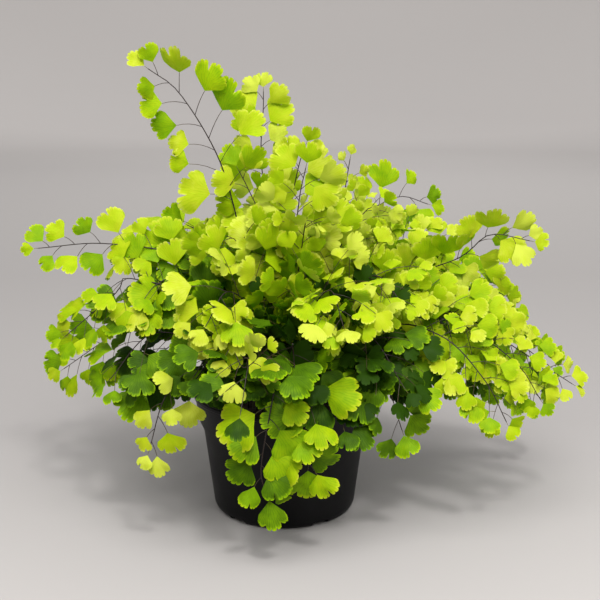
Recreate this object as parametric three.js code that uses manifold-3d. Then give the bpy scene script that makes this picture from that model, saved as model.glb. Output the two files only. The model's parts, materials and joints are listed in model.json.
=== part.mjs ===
// Potted maidenhair fern: a nursery pot, the soil in it and one solid for each frond.
// Millimetres, Z up, the pot's axis on Z, its underside at z = 0, the front towards -Y.
import * as THREE from 'three';
import { mergeVertices } from 'three/addons/utils/BufferGeometryUtils.js';
import Module from 'manifold-3d';

const wasm = await Module();
wasm.setup();

// Pot, as outlines of radius and height from the floor up, with notches in its foot
const potHeight = 80;
const rimRadius = 60;
const bodyTopZ = 55.5;
const potFloor = 4.2;
const potOutside = [[43, 0], [45.9, 1.4], [47.2, 4.4], [53.6, bodyTopZ], [56.6, 61.5],
  [58.9, 77], [rimRadius, 77.6], [rimRadius, potHeight]];
const potInside = [[45.4, potFloor], [52.2, bodyTopZ], [55.2, 62.1], [57.8, potHeight]];
const potSteps = 40;
const notch = { count: 5, first: -41, width: 12, height: 3.2, depth: 10, inner: 32 };

// Soil, standing clear of the wall
const soilTop = 67;
const soilCrown = 2;
const soilEdge = 2;
const soilGap = 0.3;
const soilRings = [[45, -1], [28, 0.8]];
const soilRoughness = 1.6;
const soilSteps = potSteps / 2;
const footZ = 71;
const rootDepth = 13;
const holeGap = 0.35;
const holeSides = 5;

// Stems
const stemRadius = 1.0;
const stemTipRadius = 0.7;
const stemSides = 3;
const stemStep = 28;
const fewestStemSteps = 5;
const stemClearance = 2.6;
const footSteepness = 1.7;
const sideways = { step: 2.5, tries: 25, fade: 0.6 };
const curveSamples = 200;
const tangentReach = 0.01;

// Side stalks: angles in degrees, lengths in millimetres, the rest shares
const stalkRadius = 0.36;
const sideRootRadius = 0.16;
const spray = {
  leafy: 0.97, fewest: 4, angle: 66, angleLoss: 20, angleRoll: 14, lift: 0.3, firstTaper: 0.6,
  taperRise: 2, taperPower: 0.6, smallLeaf: 0.76, leafRise: 2.2, shortest: 3.5, lengthRoll: 3,
  reach: 0.8, reachRoll: 0.4, narrow: 18, closeness: 0.8, sweep: 0.1, sag: 0.35, sideLeaf: 0.96,
  sideAngle: 52, sideAngleRoll: 16, sideStalk: 2, sideStalkRoll: 2.5, tipLeaf: 0.75, tipStalk: 3,
  turnToLight: 1,
};

// Leaflets: twist and pitch in degrees, the rest shares of the radius
const leaf = { twist: 56, pitch: 40, smallest: 0.74, variation: 0.5, kinds: 6, halfWidth: 0.75 };
const blade = { crown: 0.09, fall: 0.14, fallRoll: 0.12, wave: 0.035, centreAlong: 0.5, centreLift: 0.11 };
const leafHalfThickness = 0.5;
const leafletLimit = 334;
const clearance = 0.4;
const room = { floor: 2.5, rim: 1.5, wall: 1.8, soil: 2, insideRadius: 50 };
// In front of the pot only the shown fronds hang lower than a line that rises outwards from its rim
const front = { slope: 0.355, margin: 2 };
const mergeTolerance = 0.02;

const v = (x, y, z) => new THREE.Vector3(x, y, z);
const up = v(0, 0, 1);
const radians = (degrees) => degrees * Math.PI / 180;
const plus = (a, b, share = 1) => a.clone().addScaledVector(b, share);
const minus = (a, b) => a.clone().sub(b);

// Dice with a fixed seed
function makeDice(seed) {
  let state = seed * 7919 + 104729;
  return () => {
    state = state * 48271 % 2147483647;
    return state / 2147483647;
  };
}

// Fronds seen from the front: the places each stem passes after its foot, then
// foot radius, bare share, breadth, leaflet, spacing, droop, facing azimuth and elevation
const shownFronds = [
  ['tall_left', [[-17, -6, 142], [-27, -8, 185], [-40, -10, 233], [-63, -12, 273], [-82, -12, 288]],
    8, 0.57, 16.4, 17.5, 8.2, 0.06, -10, 10],
  ['bright_top', [[-1, 8, 172], [-14, 14, 223], [-13, 18, 264], [-13, 20, 273]],
    6, 0.61, 3.5, 17, 6.2, 0.04, 0, 18],
  ['top_right', [[0, 2, 165], [4, 4, 205], [9, 4, 228], [14, 4, 240]],
    4, 0.45, 5, 18, 7.5, 0.1, 8, 18],
  ['top_left', [[-6, -6, 160], [-14, -8, 195], [-22, -8, 214], [-28, -8, 226]],
    5, 0.45, 8, 18, 7.5, 0.15, -10, 18],
  ['top_middle', [[6, -25, 166], [10, -30, 210], [14, -32, 230]],
    10, 0.4, 24, 17.5, 7.5, 0.15, 5, 18],
  ['thin_upright', [[27, 25, 155], [39, 35, 201], [44, 40, 228]],
    9, 0.5, 14, 8.5, 9, 0.1, 15, 12],
  ['back_right', [[35, 60, 155], [61, 90, 184], [84, 105, 194], [106, 115, 187]],
    12, 0.5, 16, 19, 9.5, 0.1, 26, 18],
  ['right_high', [[72, -5, 148], [112, -15, 172], [129, -20, 187], [153, -25, 184]],
    14, 0.55, 4.7, 15.5, 5.7, 0.06, 30, 2],
  ['right_middle', [[50, 0, 134], [100, 5, 150], [140, 8, 138], [156, 10, 122]],
    18, 0.4, 22, 13, 6.2, 0.3, 28, 24],
  ['right_inner', [[45, 20, 145], [80, 30, 172], [108, 36, 172]],
    14, 0.4, 26, 12.5, 6.5, 0.25, 20, 25],
  ['right_low_far', [[62, -10, 140], [111, -25, 137], [149, -30, 115], [183, -30, 93]],
    16, 0.38, 22, 13, 6, 0.3, 24, 24],
  ['right_low_front', [[61, -25, 127], [96, -50, 130], [122, -60, 105], [136, -62, 79]],
    14, 0.38, 24, 12.5, 6.2, 0.35, 20, 20],
  ['right_low_mid', [[60, -18, 130], [104, -38, 136], [142, -48, 113], [159, -50, 89]],
    20, 0.38, 22, 13, 6.2, 0.35, 16, 20],
  ['right_low_back', [[60, 16, 128], [110, 28, 130], [155, 34, 106], [184, 36, 85]],
    22, 0.42, 22, 13, 6.2, 0.35, 34, 22],
  ['right_under', [[60, 32, 112], [120, 44, 98], [163, 48, 74], [182, 50, 57]],
    26, 0.45, 22, 13, 6.6, 0.35, 30, 16],
  ['right_outer', [[50, 12, 140], [90, 15, 154], [126, 18, 150], [146, 18, 140]],
    10, 0.42, 22, 12.5, 6.4, 0.3, 34, 24],
  ['right_hanging', [[48, -40, 118], [61, -65, 108], [72, -70, 76]],
    20, 0.4, 22, 17, 10, 0.4, 22, 14],
  ['left_long', [[-35, -5, 142], [-64, -10, 171], [-113, -12, 180], [-155, -12, 177]],
    14, 0.52, 6.3, 14.5, 8.4, 0.03, -24, 24],
  ['left_middle', [[-37, -15, 136], [-94, -25, 160], [-104, -30, 152], [-137, -30, 124]],
    18, 0.5, 15.1, 14.5, 4.8, 0.2, -29, 30],
  ['left_low_back', [[-36, 20, 113], [-85, 45, 112], [-118, 60, 103], [-160, 62, 75]],
    22, 0.55, 16.2, 16.5, 5.8, 0.38, -38, 4],
  ['lower_left', [[-36, -38, 121], [-52, -65, 107], [-68, -80, 102], [-79, -82, 68]],
    20, 0.62, 5, 13.5, 9, 0.88, 0, 10],
  ['front_arc', [[-32, -60, 124], [-31, -80, 142], [-22, -100, 125], [-9, -112, 138]],
    16, 0.51, 5.3, 12.5, 7, 0.43, -9, 16],
  ['front_hanging', [[-3, -60, 114], [-5, -92, 105], [-12, -100, 64], [-8, -100, 47]],
    22, 0.58, 3.9, 20.5, 7.2, 0.21, 5, 30],
  ['front_hanging_right', [[10, -58, 114], [19, -86, 101], [6, -98, 84], [19, -96, 61]],
    22, 0.44, 3.6, 20.5, 7.9, 0.14, -12, 12],
  ['front_low', [[20, -48, 112], [30, -72, 112], [36, -84, 84]],
    21, 0.4, 22, 18, 9, 0.4, 10, 12],
  ['front_low_left', [[-14, -46, 112], [-17, -70, 122], [-17, -82, 112]],
    22, 0.4, 20, 17, 9, 0.4, -12, 12],
  ['front_inner', [[4, -34, 110], [6, -60, 126], [8, -88, 112]],
    13, 0.32, 34, 17, 8, 0.35, 0, 14],
  ['front_inner_left', [[-20, -30, 110], [-38, -54, 128], [-52, -76, 112]],
    12, 0.32, 34, 17, 8, 0.35, -14, 16],
  ['front_inner_right', [[26, -28, 112], [46, -50, 130], [60, -70, 112]],
    16, 0.32, 34, 16, 8, 0.35, 16, 16],
];

// Whorls that fill the mound; shoulder and bend are a share of the reach and a height
const whorlRule = {
  seed: 500, seedStep: 40, sway: 0.35, reach: 0.88, reachRoll: 0.24, backReach: 0.14, rise: 0.93,
  riseRoll: 0.14, facing: 0.6, facingLimit: 100, elevation: 36, leafLean: 0.2,
};
const whorls = [
  { name: 'upper', count: 6, first: 20, reach: 60, shoulder: [0.35, 140], bend: [0.8, 188], tip: 196,
    foot: 5, bare: 0.34, breadth: 42, leaf: 13.5, spacing: 6.6, droop: 0.2 },
  { name: 'middle', count: 8, first: -75, reach: 105, shoulder: [0.35, 135], bend: [0.75, 166], tip: 150,
    foot: 12, bare: 0.34, breadth: 40, leaf: 14.5, spacing: 6.6, droop: 0.3 },
  { name: 'lower', count: 7, first: 92, reach: 122, shoulder: [0.4, 118], bend: [0.75, 137], tip: 108,
    foot: 20, bare: 0.34, breadth: 38, leaf: 15.5, spacing: 7, droop: 0.35 },
  { name: 'skirt', count: 7, first: 24, reach: 84, shoulder: [0.4, 98], bend: [0.78, 114], tip: 100,
    foot: 24, bare: 0.3, breadth: 36, leaf: 17.5, spacing: 7.5, droop: 0.4 },
];

function allPlans() {
  const plans = shownFronds.map(([name, places, foot, bare, breadth, leaf, spacing, droop, az, el]) => ({
    name, inWhorl: false, places: places.map((q) => v(...q)),
    foot, bare, breadth, leaf, spacing, droop, az, el,
  }));
  const rule = whorlRule;
  whorls.forEach((whorl, w) => {
    for (let k = 0; k < whorl.count; k += 1) {
      const roll = makeDice(rule.seed + rule.seedStep * w + k);
      const azimuth = whorl.first + 360 / whorl.count * (k + rule.sway * (roll() - 0.5));
      const a = radians(azimuth);
      const reach = whorl.reach * (rule.reach + rule.reachRoll * roll()) * (1 - rule.backReach * Math.cos(a));
      const rise = rule.rise + rule.riseRoll * roll();
      const out = v(Math.sin(a), -Math.cos(a), 0);
      const growth = 1 - rule.leafLean * out.x;
      const places = [whorl.shoulder, whorl.bend, [1, whorl.tip]].map(([share, z]) => (
        v(out.x * reach * share, out.y * reach * share, z * rise)));
      const turned = (azimuth + 540) % 360 - 180;
      plans.push({
        name: `${whorl.name}_${k + 1}`, inWhorl: true, places,
        foot: whorl.foot, bare: whorl.bare, breadth: whorl.breadth,
        leaf: whorl.leaf * growth, spacing: whorl.spacing * growth, droop: whorl.droop,
        az: turned * (Math.abs(turned) < rule.facingLimit ? rule.facing : 1), el: rule.elevation,
      });
    }
  });
  return plans;
}

// A smooth curve through points; the first and last only steer its ends
function curvePoint(p, t) {
  const n = p.length - 3;
  const i = Math.min(Math.floor(t * n), n - 1);
  const s = t * n - i;
  const [a, b, c, d] = p.slice(i, i + 4);
  return b.clone().multiplyScalar(2)
    .addScaledVector(minus(c, a), s)
    .addScaledVector(a, 2 * s * s).addScaledVector(b, -5 * s * s)
    .addScaledVector(c, 4 * s * s).addScaledVector(d, -s * s)
    .addScaledVector(b, 3 * s ** 3).addScaledVector(a, -(s ** 3))
    .addScaledVector(c, -3 * s ** 3).addScaledVector(d, s ** 3)
    .multiplyScalar(0.5);
}

function curveTangent(p, t) {
  const after = curvePoint(p, Math.min(1, t + tangentReach));
  return minus(after, curvePoint(p, Math.max(0, t - tangentReach))).normalize();
}

function evenParameters(p, shares) {
  const lengths = [0];
  let last = curvePoint(p, 0);
  for (let i = 1; i <= curveSamples; i += 1) {
    const next = curvePoint(p, i / curveSamples);
    lengths.push(lengths[i - 1] + next.distanceTo(last));
    last = next;
  }
  const found = shares.map((share) => {
    const target = share * lengths[curveSamples];
    let i = 0;
    while (i < curveSamples - 1 && lengths[i + 1] < target) i += 1;
    return (i + (target - lengths[i]) / (lengths[i + 1] - lengths[i])) / curveSamples;
  });
  return [found, lengths[curveSamples]];
}

// Room for a leaflet: above the floor and clear of the pot and the soil
function outlineRadius(outline, z) {
  const i = Math.max(1, outline.findIndex((point) => point[1] >= z));
  const [[r1, z1], [r2, z2]] = outline.slice(i - 1, i + 1);
  return r1 + (r2 - r1) * (z - z1) / (z2 - z1);
}

function potRadius(z) {
  return z > bodyTopZ ? rimRadius : outlineRadius(potOutside, z);
}

function isFree(p) {
  const r = Math.hypot(p.x, p.y);
  const outside = r > potRadius(p.z) + room.wall;
  const overSoil = r < room.insideRadius && p.z > soilTop + soilCrown + room.soil;
  return p.z >= room.floor && (p.z >= potHeight + room.rim || outside || overSoil);
}

function perpendicular(a, axis) {
  return a.clone().addScaledVector(axis, -a.dot(axis)).normalize();
}

function makeLeaflet(path, heading, normal, radius, roll) {
  let axis = heading.clone().normalize();
  let n = perpendicular(normal, axis);
  const twist = radians(leaf.twist) * (roll() - 0.5);
  const pitch = radians(leaf.pitch) * (roll() - 0.5);
  const side = n.clone().cross(axis);
  n = n.clone().multiplyScalar(Math.cos(twist)).addScaledVector(side, Math.sin(twist));
  axis = axis.clone().multiplyScalar(Math.cos(pitch)).addScaledVector(n, Math.sin(pitch));
  n = perpendicular(n, axis);
  const size = radius * (leaf.smallest + leaf.variation * roll());
  const kind = Math.floor(roll() * leaf.kinds);
  return { path, axis, normal: n, radius: size, kind, bend: roll() };
}

function hidesRim(p) {
  if (Math.abs(p.x) >= rimRadius) return false;
  const gap = -Math.sqrt(rimRadius ** 2 - p.x ** 2) - p.y;
  return gap > 0 && p.z < potHeight + front.margin + front.slope * gap;
}

function leafletIsFree(leaflet, plan) {
  const { axis, normal, radius } = leaflet;
  const side = normal.clone().cross(axis);
  const middle = plus(leaflet.path[1], axis, 0.5 * radius);
  const reach = leaf.halfWidth * radius;
  return [middle, plus(middle, axis, 0.5 * radius), plus(middle, side, reach), plus(middle, side, -reach)]
    .every((p) => isFree(p) && !(plan.inWhorl && hidesRim(p)));
}

// The stem's guide points, moved sideways until it stands clear of the stems before it
function guidePoints(plan, offset) {
  const first = plan.places[0];
  const out = v(first.x, first.y, 0).normalize();
  const side = v(-out.y, out.x, 0);
  const foot = plus(out.clone().multiplyScalar(plan.foot), side, sideways.fade * offset);
  foot.z = footZ;
  const shift = (i) => (i === plan.places.length - 1 ? 0 : offset * sideways.fade ** i);
  const places = plan.places.map((q, i) => plus(q, side, shift(i)));
  const rise = places[0].distanceTo(foot);
  const tip = places[places.length - 1];
  return [plus(places[0], up, -footSteepness * rise), foot, ...places,
    plus(tip.clone().multiplyScalar(2), places[places.length - 2], -1)];
}

function segmentGap(p1, q1, p2, q2) {
  const d1 = minus(q1, p1);
  const d2 = minus(q2, p2);
  const r = minus(p1, p2);
  const a = d1.dot(d1);
  const e = d2.dot(d2);
  const f = d2.dot(r);
  const c = d1.dot(r);
  const b = d1.dot(d2);
  const denominator = a * e - b * b;
  let s = denominator > 1e-9 ? Math.min(1, Math.max(0, (b * f - c * e) / denominator)) : 0;
  let t = (b * s + f) / e;
  if (t < 0 || t > 1) {
    t = Math.min(1, Math.max(0, t));
    s = Math.min(1, Math.max(0, (b * t - c) / a));
  }
  return plus(p1, d1, s).distanceTo(plus(p2, d2, t));
}

function stemPath(guides) {
  const [found, length] = evenParameters(guides, [1]);
  const steps = Math.max(fewestStemSteps, Math.round(length / stemStep));
  const [params] = evenParameters(guides, Array.from({ length: steps + 1 }, (_, i) => i / steps));
  const points = params.map((t) => curvePoint(guides, t));
  return { points: [plus(points[0], up, -rootDepth), ...points], length };
}

function pathsAreClear(a, b) {
  for (let i = 0; i < a.length - 1; i += 1) {
    for (let j = 0; j < b.length - 1; j += 1) {
      if (segmentGap(a[i], a[i + 1], b[j], b[j + 1]) < stemClearance) return false;
    }
  }
  return true;
}

function nearestOnPath(path, p) {
  let best = path[0];
  for (let i = 0; i < path.length - 1; i += 1) {
    const d = minus(path[i + 1], path[i]);
    const s = Math.min(1, Math.max(0, minus(p, path[i]).dot(d) / d.dot(d)));
    const q = plus(path[i], d, s);
    if (q.distanceTo(p) < best.distanceTo(p)) best = q;
  }
  return best;
}

function placeStem(plan, others) {
  for (let step = 0; step < sideways.tries; step += 1) {
    const offset = (step % 2 ? 1 : -1) * sideways.step * Math.ceil(step / 2);
    const guides = guidePoints(plan, offset);
    const stem = stemPath(guides);
    if (others.every((other) => pathsAreClear(stem.points, other))) return { guides, ...stem };
  }
  throw new Error(`no room for the stem of ${plan.name}`);
}

function facing({ az, el }) {
  const a = radians(az);
  const e = radians(el);
  return v(Math.sin(a) * Math.cos(e), -Math.cos(a) * Math.cos(e), Math.sin(e));
}

// Side stalks in turn left and right, each with a leaflet at its end and more along it;
// the order spreads a limited number of leaflets evenly, from the tip down
const laterRow = 50;

function growLeaflets(plan, guides, length, number) {
  const roll = makeDice(number);
  const tip = plan.places[plan.places.length - 1];
  const count = Math.max(spray.fewest, Math.round(length * (1 - plan.bare) / plan.spacing));
  const leafy = spray.leafy * (1 - plan.bare);
  const shares = Array.from({ length: count }, (_, k) => plan.bare + leafy * (k + 0.5) / count);
  const [params] = evenParameters(guides, shares);
  const face = facing(plan);
  const leaflets = [];
  const hang = (axis) => plus(axis, up, -plan.droop).normalize();
  params.forEach((t, k) => {
    const u = (k + 0.5) / count;
    const start = curvePoint(guides, t);
    const along = curveTangent(guides, t);
    const n = perpendicular(face, along);
    const across = along.clone().cross(n).multiplyScalar(k % 2 ? 1 : -1);
    const spread = radians(spray.angle - spray.angleLoss * u + spray.angleRoll * (roll() - 0.5));
    const heading = along.clone().multiplyScalar(Math.cos(spread)).addScaledVector(across, Math.sin(spread))
      .addScaledVector(n, spray.lift * (roll() - 0.5)).normalize();
    const taper = Math.min(1, spray.firstTaper + spray.taperRise * u) * (1 - u) ** spray.taperPower;
    const large = (1 - spray.smallLeaf) * Math.min(1, spray.leafRise * (1 - u));
    const size = plan.leaf * (spray.smallLeaf + large);
    const reach = spray.shortest + spray.lengthRoll * roll()
      + plan.breadth * taper * (spray.reach + spray.reachRoll * roll());
    const several = plan.breadth < spray.narrow ? 1 : 1 + Math.floor(reach / (size * spray.closeness));
    const sag = -spray.sag * plan.droop * reach;
    const end = plus(plus(plus(start, heading, reach), along, spray.sweep * reach), up, sag);
    const stalk = minus(end, start);
    const light = plus(n, face, spray.turnToLight);
    const main = makeLeaflet([start, end], hang(stalk.clone().normalize()), light, size, roll);
    const stalkIsFree = isFree(end) && isFree(plus(start, stalk, 0.5));
    main.order = (count - k) + ((count - k) % 2 ? 0 : laterRow);
    if (stalkIsFree && leafletIsFree(main, plan)) leaflets.push(main);
    for (let j = 1; j < several; j += 1) {
      const point = plus(start, stalk, j / several);
      const lean = perpendicular(n, heading).cross(heading).multiplyScalar((j + k) % 2 ? 1 : -1);
      const turn = radians(spray.sideAngle + spray.sideAngleRoll * roll());
      const axis = heading.clone().multiplyScalar(Math.cos(turn)).addScaledVector(lean, Math.sin(turn));
      const base = plus(point, axis, spray.sideStalk + spray.sideStalkRoll * roll());
      const extra = makeLeaflet([point, base], hang(axis), light, size * spray.sideLeaf, roll);
      extra.order = main.order + 2 * laterRow * j;
      extra.main = main;
      extra.share = j / several;
      if (stalkIsFree && leafletIsFree(extra, plan)) leaflets.push(extra);
    }
  });
  const along = curveTangent(guides, 1);
  const last = makeLeaflet([tip, plus(tip, along, spray.tipStalk)], along, perpendicular(face, along),
    plan.leaf * spray.tipLeaf, roll);
  last.order = 0;
  leaflets.push(last);
  return leaflets.sort((a, b) => a.order - b.order);
}

// Closed meshes
function solid(points, faces) {
  const mesh = new wasm.Mesh({
    numProp: 3,
    vertProperties: new Float32Array(points.flatMap((p) => [p.x, p.y, p.z])),
    triVerts: new Uint32Array(faces.flat()),
  });
  return new wasm.Manifold(mesh);
}

// A tapered stem through a row of points
function stemSolid(points, startRadius, endRadius, facing, sides = stemSides) {
  const rings = [];
  const faces = [];
  let n = facing;
  points.forEach((p, i) => {
    const before = points[Math.max(0, i - 1)];
    const after = points[Math.min(points.length - 1, i + 1)];
    const along = minus(after, before).normalize();
    n = perpendicular(n, along);
    const side = along.clone().cross(n);
    const r = startRadius + (endRadius - startRadius) * i / (points.length - 1);
    for (let k = 0; k < sides; k += 1) {
      const a = 2 * Math.PI * k / sides;
      rings.push(plus(plus(p, n, r * Math.cos(a)), side, r * Math.sin(a)));
    }
  });
  for (let i = 0; i < points.length - 1; i += 1) {
    for (let k = 0; k < sides; k += 1) {
      const a = i * sides + k;
      const b = i * sides + (k + 1) % sides;
      faces.push([a, b, b + sides], [a, b + sides, a + sides]);
    }
  }
  const last = (points.length - 1) * sides;
  for (let k = 1; k < sides - 1; k += 1) {
    faces.push([0, k + 1, k], [last, last + k, last + k + 1]);
  }
  return solid(rings, faces);
}

// Leaflet outlines, as an angle from the axis and a share of the radius
const threeLobes = [[-58, 0.84], [-35, 1], [-17, 0.76], [0, 1.05], [17, 0.76], [35, 1], [58, 0.84]];
const twoLobes = [[-56, 0.86], [-24, 1.03], [0, 0.74], [24, 1.03], [56, 0.86]];

// A leaflet and its stalk as one solid, its root inside the stem that it grows from
function leafletSolid(leaflet, stemPoints) {
  const { path, axis, normal, radius: r, main } = leaflet;
  const side = normal.clone().cross(axis);
  const base = path[1];
  const root = main ? plus(main.root, minus(main.path[1], main.root), leaflet.share)
    : nearestOnPath(stemPoints, path[0]);
  leaflet.root = root;
  const stalkAxis = minus(base, root).normalize();
  const rootNormal = perpendicular(normal, stalkAxis);
  const rootSide = rootNormal.clone().cross(stalkAxis);
  const ring = (centre, n, across, radius) => [60, -60, 180].map((angle) => (
    plus(plus(centre, n, radius * Math.cos(radians(angle))), across, radius * Math.sin(radians(angle)))));
  const points = [
    ...ring(root, rootNormal, rootSide, main ? sideRootRadius : stalkRadius),
    ...ring(base, normal, side, stalkRadius),
  ];
  const faces = [[0, 1, 4], [0, 4, 3], [1, 2, 5], [1, 5, 4], [2, 0, 3], [2, 3, 5], [0, 2, 1]];
  const outline = leaflet.kind % 3 === 1 ? twoLobes : threeLobes;
  const fall = blade.fall + blade.fallRoll * leaflet.bend;
  outline.forEach(([angle, share], i) => {
    const a = radians(angle);
    const across = -share * Math.sin(a);
    const lift = blade.crown - fall * across * across + (i % 2 ? blade.wave : -blade.wave);
    points.push(plus(plus(plus(base, axis, r * share * Math.cos(a)), side, r * across), normal, r * lift));
  });
  const centre = plus(plus(base, axis, blade.centreAlong * r), normal, blade.centreLift * r);
  points.push(plus(centre, normal, leafHalfThickness), plus(centre, normal, -leafHalfThickness));
  const top = points.length - 2;
  const bottom = points.length - 1;
  const rim = [3, ...outline.map((_, i) => 6 + i), 4];
  for (let i = 0; i < rim.length - 1; i += 1) {
    faces.push([top, rim[i + 1], rim[i]], [bottom, rim[i], rim[i + 1]]);
  }
  faces.push([top, 3, 4], [bottom, 5, 3], [bottom, 4, 5]);
  return solid(points, faces);
}

function boxesMeet(a, b) {
  for (let i = 0; i < 3; i += 1) {
    if (a.min[i] > b.max[i] + clearance || b.min[i] > a.max[i] + clearance) return false;
  }
  return true;
}

// A leaflet touches nothing but the stem or stalk that it grows from
function isClear(shape, box, leaflet, frond, placed) {
  return placed.every((other) => (other.frond === frond && other.leaflet === leaflet.main)
    || !boxesMeet(box, other.box) || shape.minGap(other.shape, clearance) >= clearance);
}

function growAll() {
  const fronds = [];
  const paths = [];
  allPlans().forEach((plan, i) => {
    const stem = placeStem(plan, paths);
    paths.push(stem.points);
    fronds.push({ plan, stem, leaflets: growLeaflets(plan, stem.guides, stem.length, i + 1) });
  });
  const placed = fronds.map((frond) => {
    const shape = stemSolid(frond.stem.points, stemRadius, stemTipRadius, facing(frond.plan));
    return { frond, shape, box: shape.boundingBox() };
  });
  let count = 0;
  const mostLeaflets = Math.max(...fronds.map((frond) => frond.leaflets.length));
  for (let k = 0; k < mostLeaflets && count < leafletLimit; k += 1) {
    for (const frond of fronds) {
      const leaflet = frond.leaflets[k];
      if (!leaflet || count >= leafletLimit || (leaflet.main && !leaflet.main.kept)) continue;
      const shape = leafletSolid(leaflet, frond.stem.points);
      const box = shape.boundingBox();
      if (isClear(shape, box, leaflet, frond, placed)) {
        placed.push({ frond, leaflet, shape, box });
        leaflet.kept = true;
        count += 1;
      }
    }
  }
  for (const frond of fronds) {
    const pieces = placed.filter((one) => one.frond === frond).map((one) => one.shape);
    frond.shape = wasm.Manifold.union(pieces).simplify(mergeTolerance);
  }
  return fronds;
}

// Turned solids
function turned(profile, steps) {
  const points = [];
  const faces = [];
  const inner = profile.slice(1, -1);
  points.push(v(0, 0, profile[0][1]), v(0, 0, profile[profile.length - 1][1]));
  for (let i = 0; i < steps; i += 1) {
    const a = 2 * Math.PI * i / steps;
    inner.forEach(([r, z]) => points.push(v(r * Math.cos(a), r * Math.sin(a), z)));
  }
  const at = (i, k) => 2 + (i % steps) * inner.length + k;
  for (let i = 0; i < steps; i += 1) {
    faces.push([0, at(i + 1, 0), at(i, 0)]);
    faces.push([1, at(i, inner.length - 1), at(i + 1, inner.length - 1)]);
    for (let k = 0; k < inner.length - 1; k += 1) {
      faces.push([at(i, k), at(i + 1, k), at(i + 1, k + 1)], [at(i, k), at(i + 1, k + 1), at(i, k + 1)]);
    }
  }
  return solid(points, faces);
}

function mergedSolid(geometry) {
  geometry.deleteAttribute('normal');
  geometry.deleteAttribute('uv');
  const merged = mergeVertices(geometry);
  return new wasm.Manifold(new wasm.Mesh({
    numProp: 3,
    vertProperties: merged.attributes.position.array,
    triVerts: new Uint32Array(merged.index.array),
  }));
}

function makePot() {
  let pot = turned([[0, 0], ...potOutside, ...potInside.toReversed(), [0, potFloor]], potSteps);
  for (let k = 0; k < notch.count; k += 1) {
    const cutter = new THREE.BoxGeometry(notch.width, 2 * notch.depth, 2 * notch.height);
    cutter.translate(0, -(notch.inner + notch.depth), 0);
    cutter.rotateZ(radians(notch.first + 360 / notch.count * k));
    pot = pot.subtract(mergedSolid(cutter));
  }
  return pot;
}

function makeSoil(fronds) {
  const roll = makeDice(77);
  const edgeZ = soilTop - soilEdge;
  const side = [...potInside.filter((point) => point[1] < edgeZ), [outlineRadius(potInside, edgeZ), edgeZ]];
  let soil = turned([
    [0, potFloor + soilGap], ...side.map(([r, z]) => [r - soilGap, Math.max(z, potFloor + soilGap)]),
    ...soilRings.map(([r, rise]) => [r, soilTop + rise]), [0, soilTop + soilCrown],
  ], soilSteps);
  soil = soil.warp((p) => {
    if (p[2] > edgeZ && Math.hypot(p[0], p[1]) > 1) p[2] += soilRoughness * (roll() - 0.5);
  });
  for (const frond of fronds) {
    const foot = frond.stem.points[1];
    const radius = stemRadius + holeGap;
    const ends = [plus(foot, up, -rootDepth - holeGap), plus(foot, up, rootDepth)];
    const hole = stemSolid(ends, radius, radius, v(0, -1, 0), holeSides);
    soil = soil.subtract(hole);
  }
  return soil;
}

function node(name, shape, colour, roughness) {
  const mesh = shape.getMesh();
  const geometry = new THREE.BufferGeometry();
  geometry.setAttribute('position', new THREE.BufferAttribute(new Float32Array(mesh.vertProperties), 3));
  geometry.setIndex(new THREE.BufferAttribute(new Uint32Array(mesh.triVerts), 1));
  geometry.computeVertexNormals();
  const material = new THREE.MeshStandardMaterial({ color: colour, roughness, metalness: 0 });
  const one = new THREE.Mesh(geometry, material);
  one.name = name;
  return one;
}

const fronds = growAll();
const group = new THREE.Group();
group.name = 'potted_maidenhair_fern';
group.add(node('pot', makePot(), 0x1d1e20, 0.5));
group.add(node('soil', makeSoil(fronds), 0x2e1d12, 0.95));
for (const frond of fronds) {
  group.add(node(`frond_${frond.plan.name}`, frond.shape, 0x9fc51c, 0.55));
}

export default group;
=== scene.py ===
# Potted maidenhair fern: leaflets, stems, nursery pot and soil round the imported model.
import json
import math

import bmesh
import bpy
from mathutils import Matrix, Vector, noise

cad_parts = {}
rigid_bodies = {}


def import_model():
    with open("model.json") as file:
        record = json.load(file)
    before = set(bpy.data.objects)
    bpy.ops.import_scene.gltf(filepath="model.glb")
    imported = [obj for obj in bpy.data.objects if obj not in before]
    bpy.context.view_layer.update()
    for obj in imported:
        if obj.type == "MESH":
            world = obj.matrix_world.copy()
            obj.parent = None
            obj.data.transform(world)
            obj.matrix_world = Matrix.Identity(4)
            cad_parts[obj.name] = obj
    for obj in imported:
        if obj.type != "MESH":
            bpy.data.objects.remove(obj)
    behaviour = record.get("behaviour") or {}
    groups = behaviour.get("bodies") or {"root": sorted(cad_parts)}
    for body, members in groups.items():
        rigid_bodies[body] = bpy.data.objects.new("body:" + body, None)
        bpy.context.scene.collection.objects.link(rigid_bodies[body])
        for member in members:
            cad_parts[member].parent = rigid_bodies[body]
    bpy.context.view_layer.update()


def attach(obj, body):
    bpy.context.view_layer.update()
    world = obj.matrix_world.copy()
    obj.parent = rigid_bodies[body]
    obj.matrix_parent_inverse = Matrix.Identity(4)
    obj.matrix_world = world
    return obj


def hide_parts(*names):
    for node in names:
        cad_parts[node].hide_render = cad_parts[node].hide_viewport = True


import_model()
mm = 0.001


# Growth rule of the fronds, in millimetres; the source of the solids holds the same rule
potHeight, rimRadius, bodyTopZ, soilTop, soilCrown = 80.0, 60.0, 55.5, 67.0, 2.0
potOutside = [(43, 0), (45.9, 1.4), (47.2, 4.4), (53.6, 55.5), (56.6, 61.5), (58.9, 77), (60, 77.6), (60, 80)]
up = (0.0, 0.0, 1.0)
stem = {
    "footZ": 71.0, "rootDepth": 13.0, "clearance": 2.6, "footSteepness": 1.7, "step": 28, "fewestSteps": 5,
    "sidewaysStep": 2.5, "sidewaysTries": 25, "sidewaysFade": 0.6, "samples": 200, "tangentReach": 0.01,
}
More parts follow.
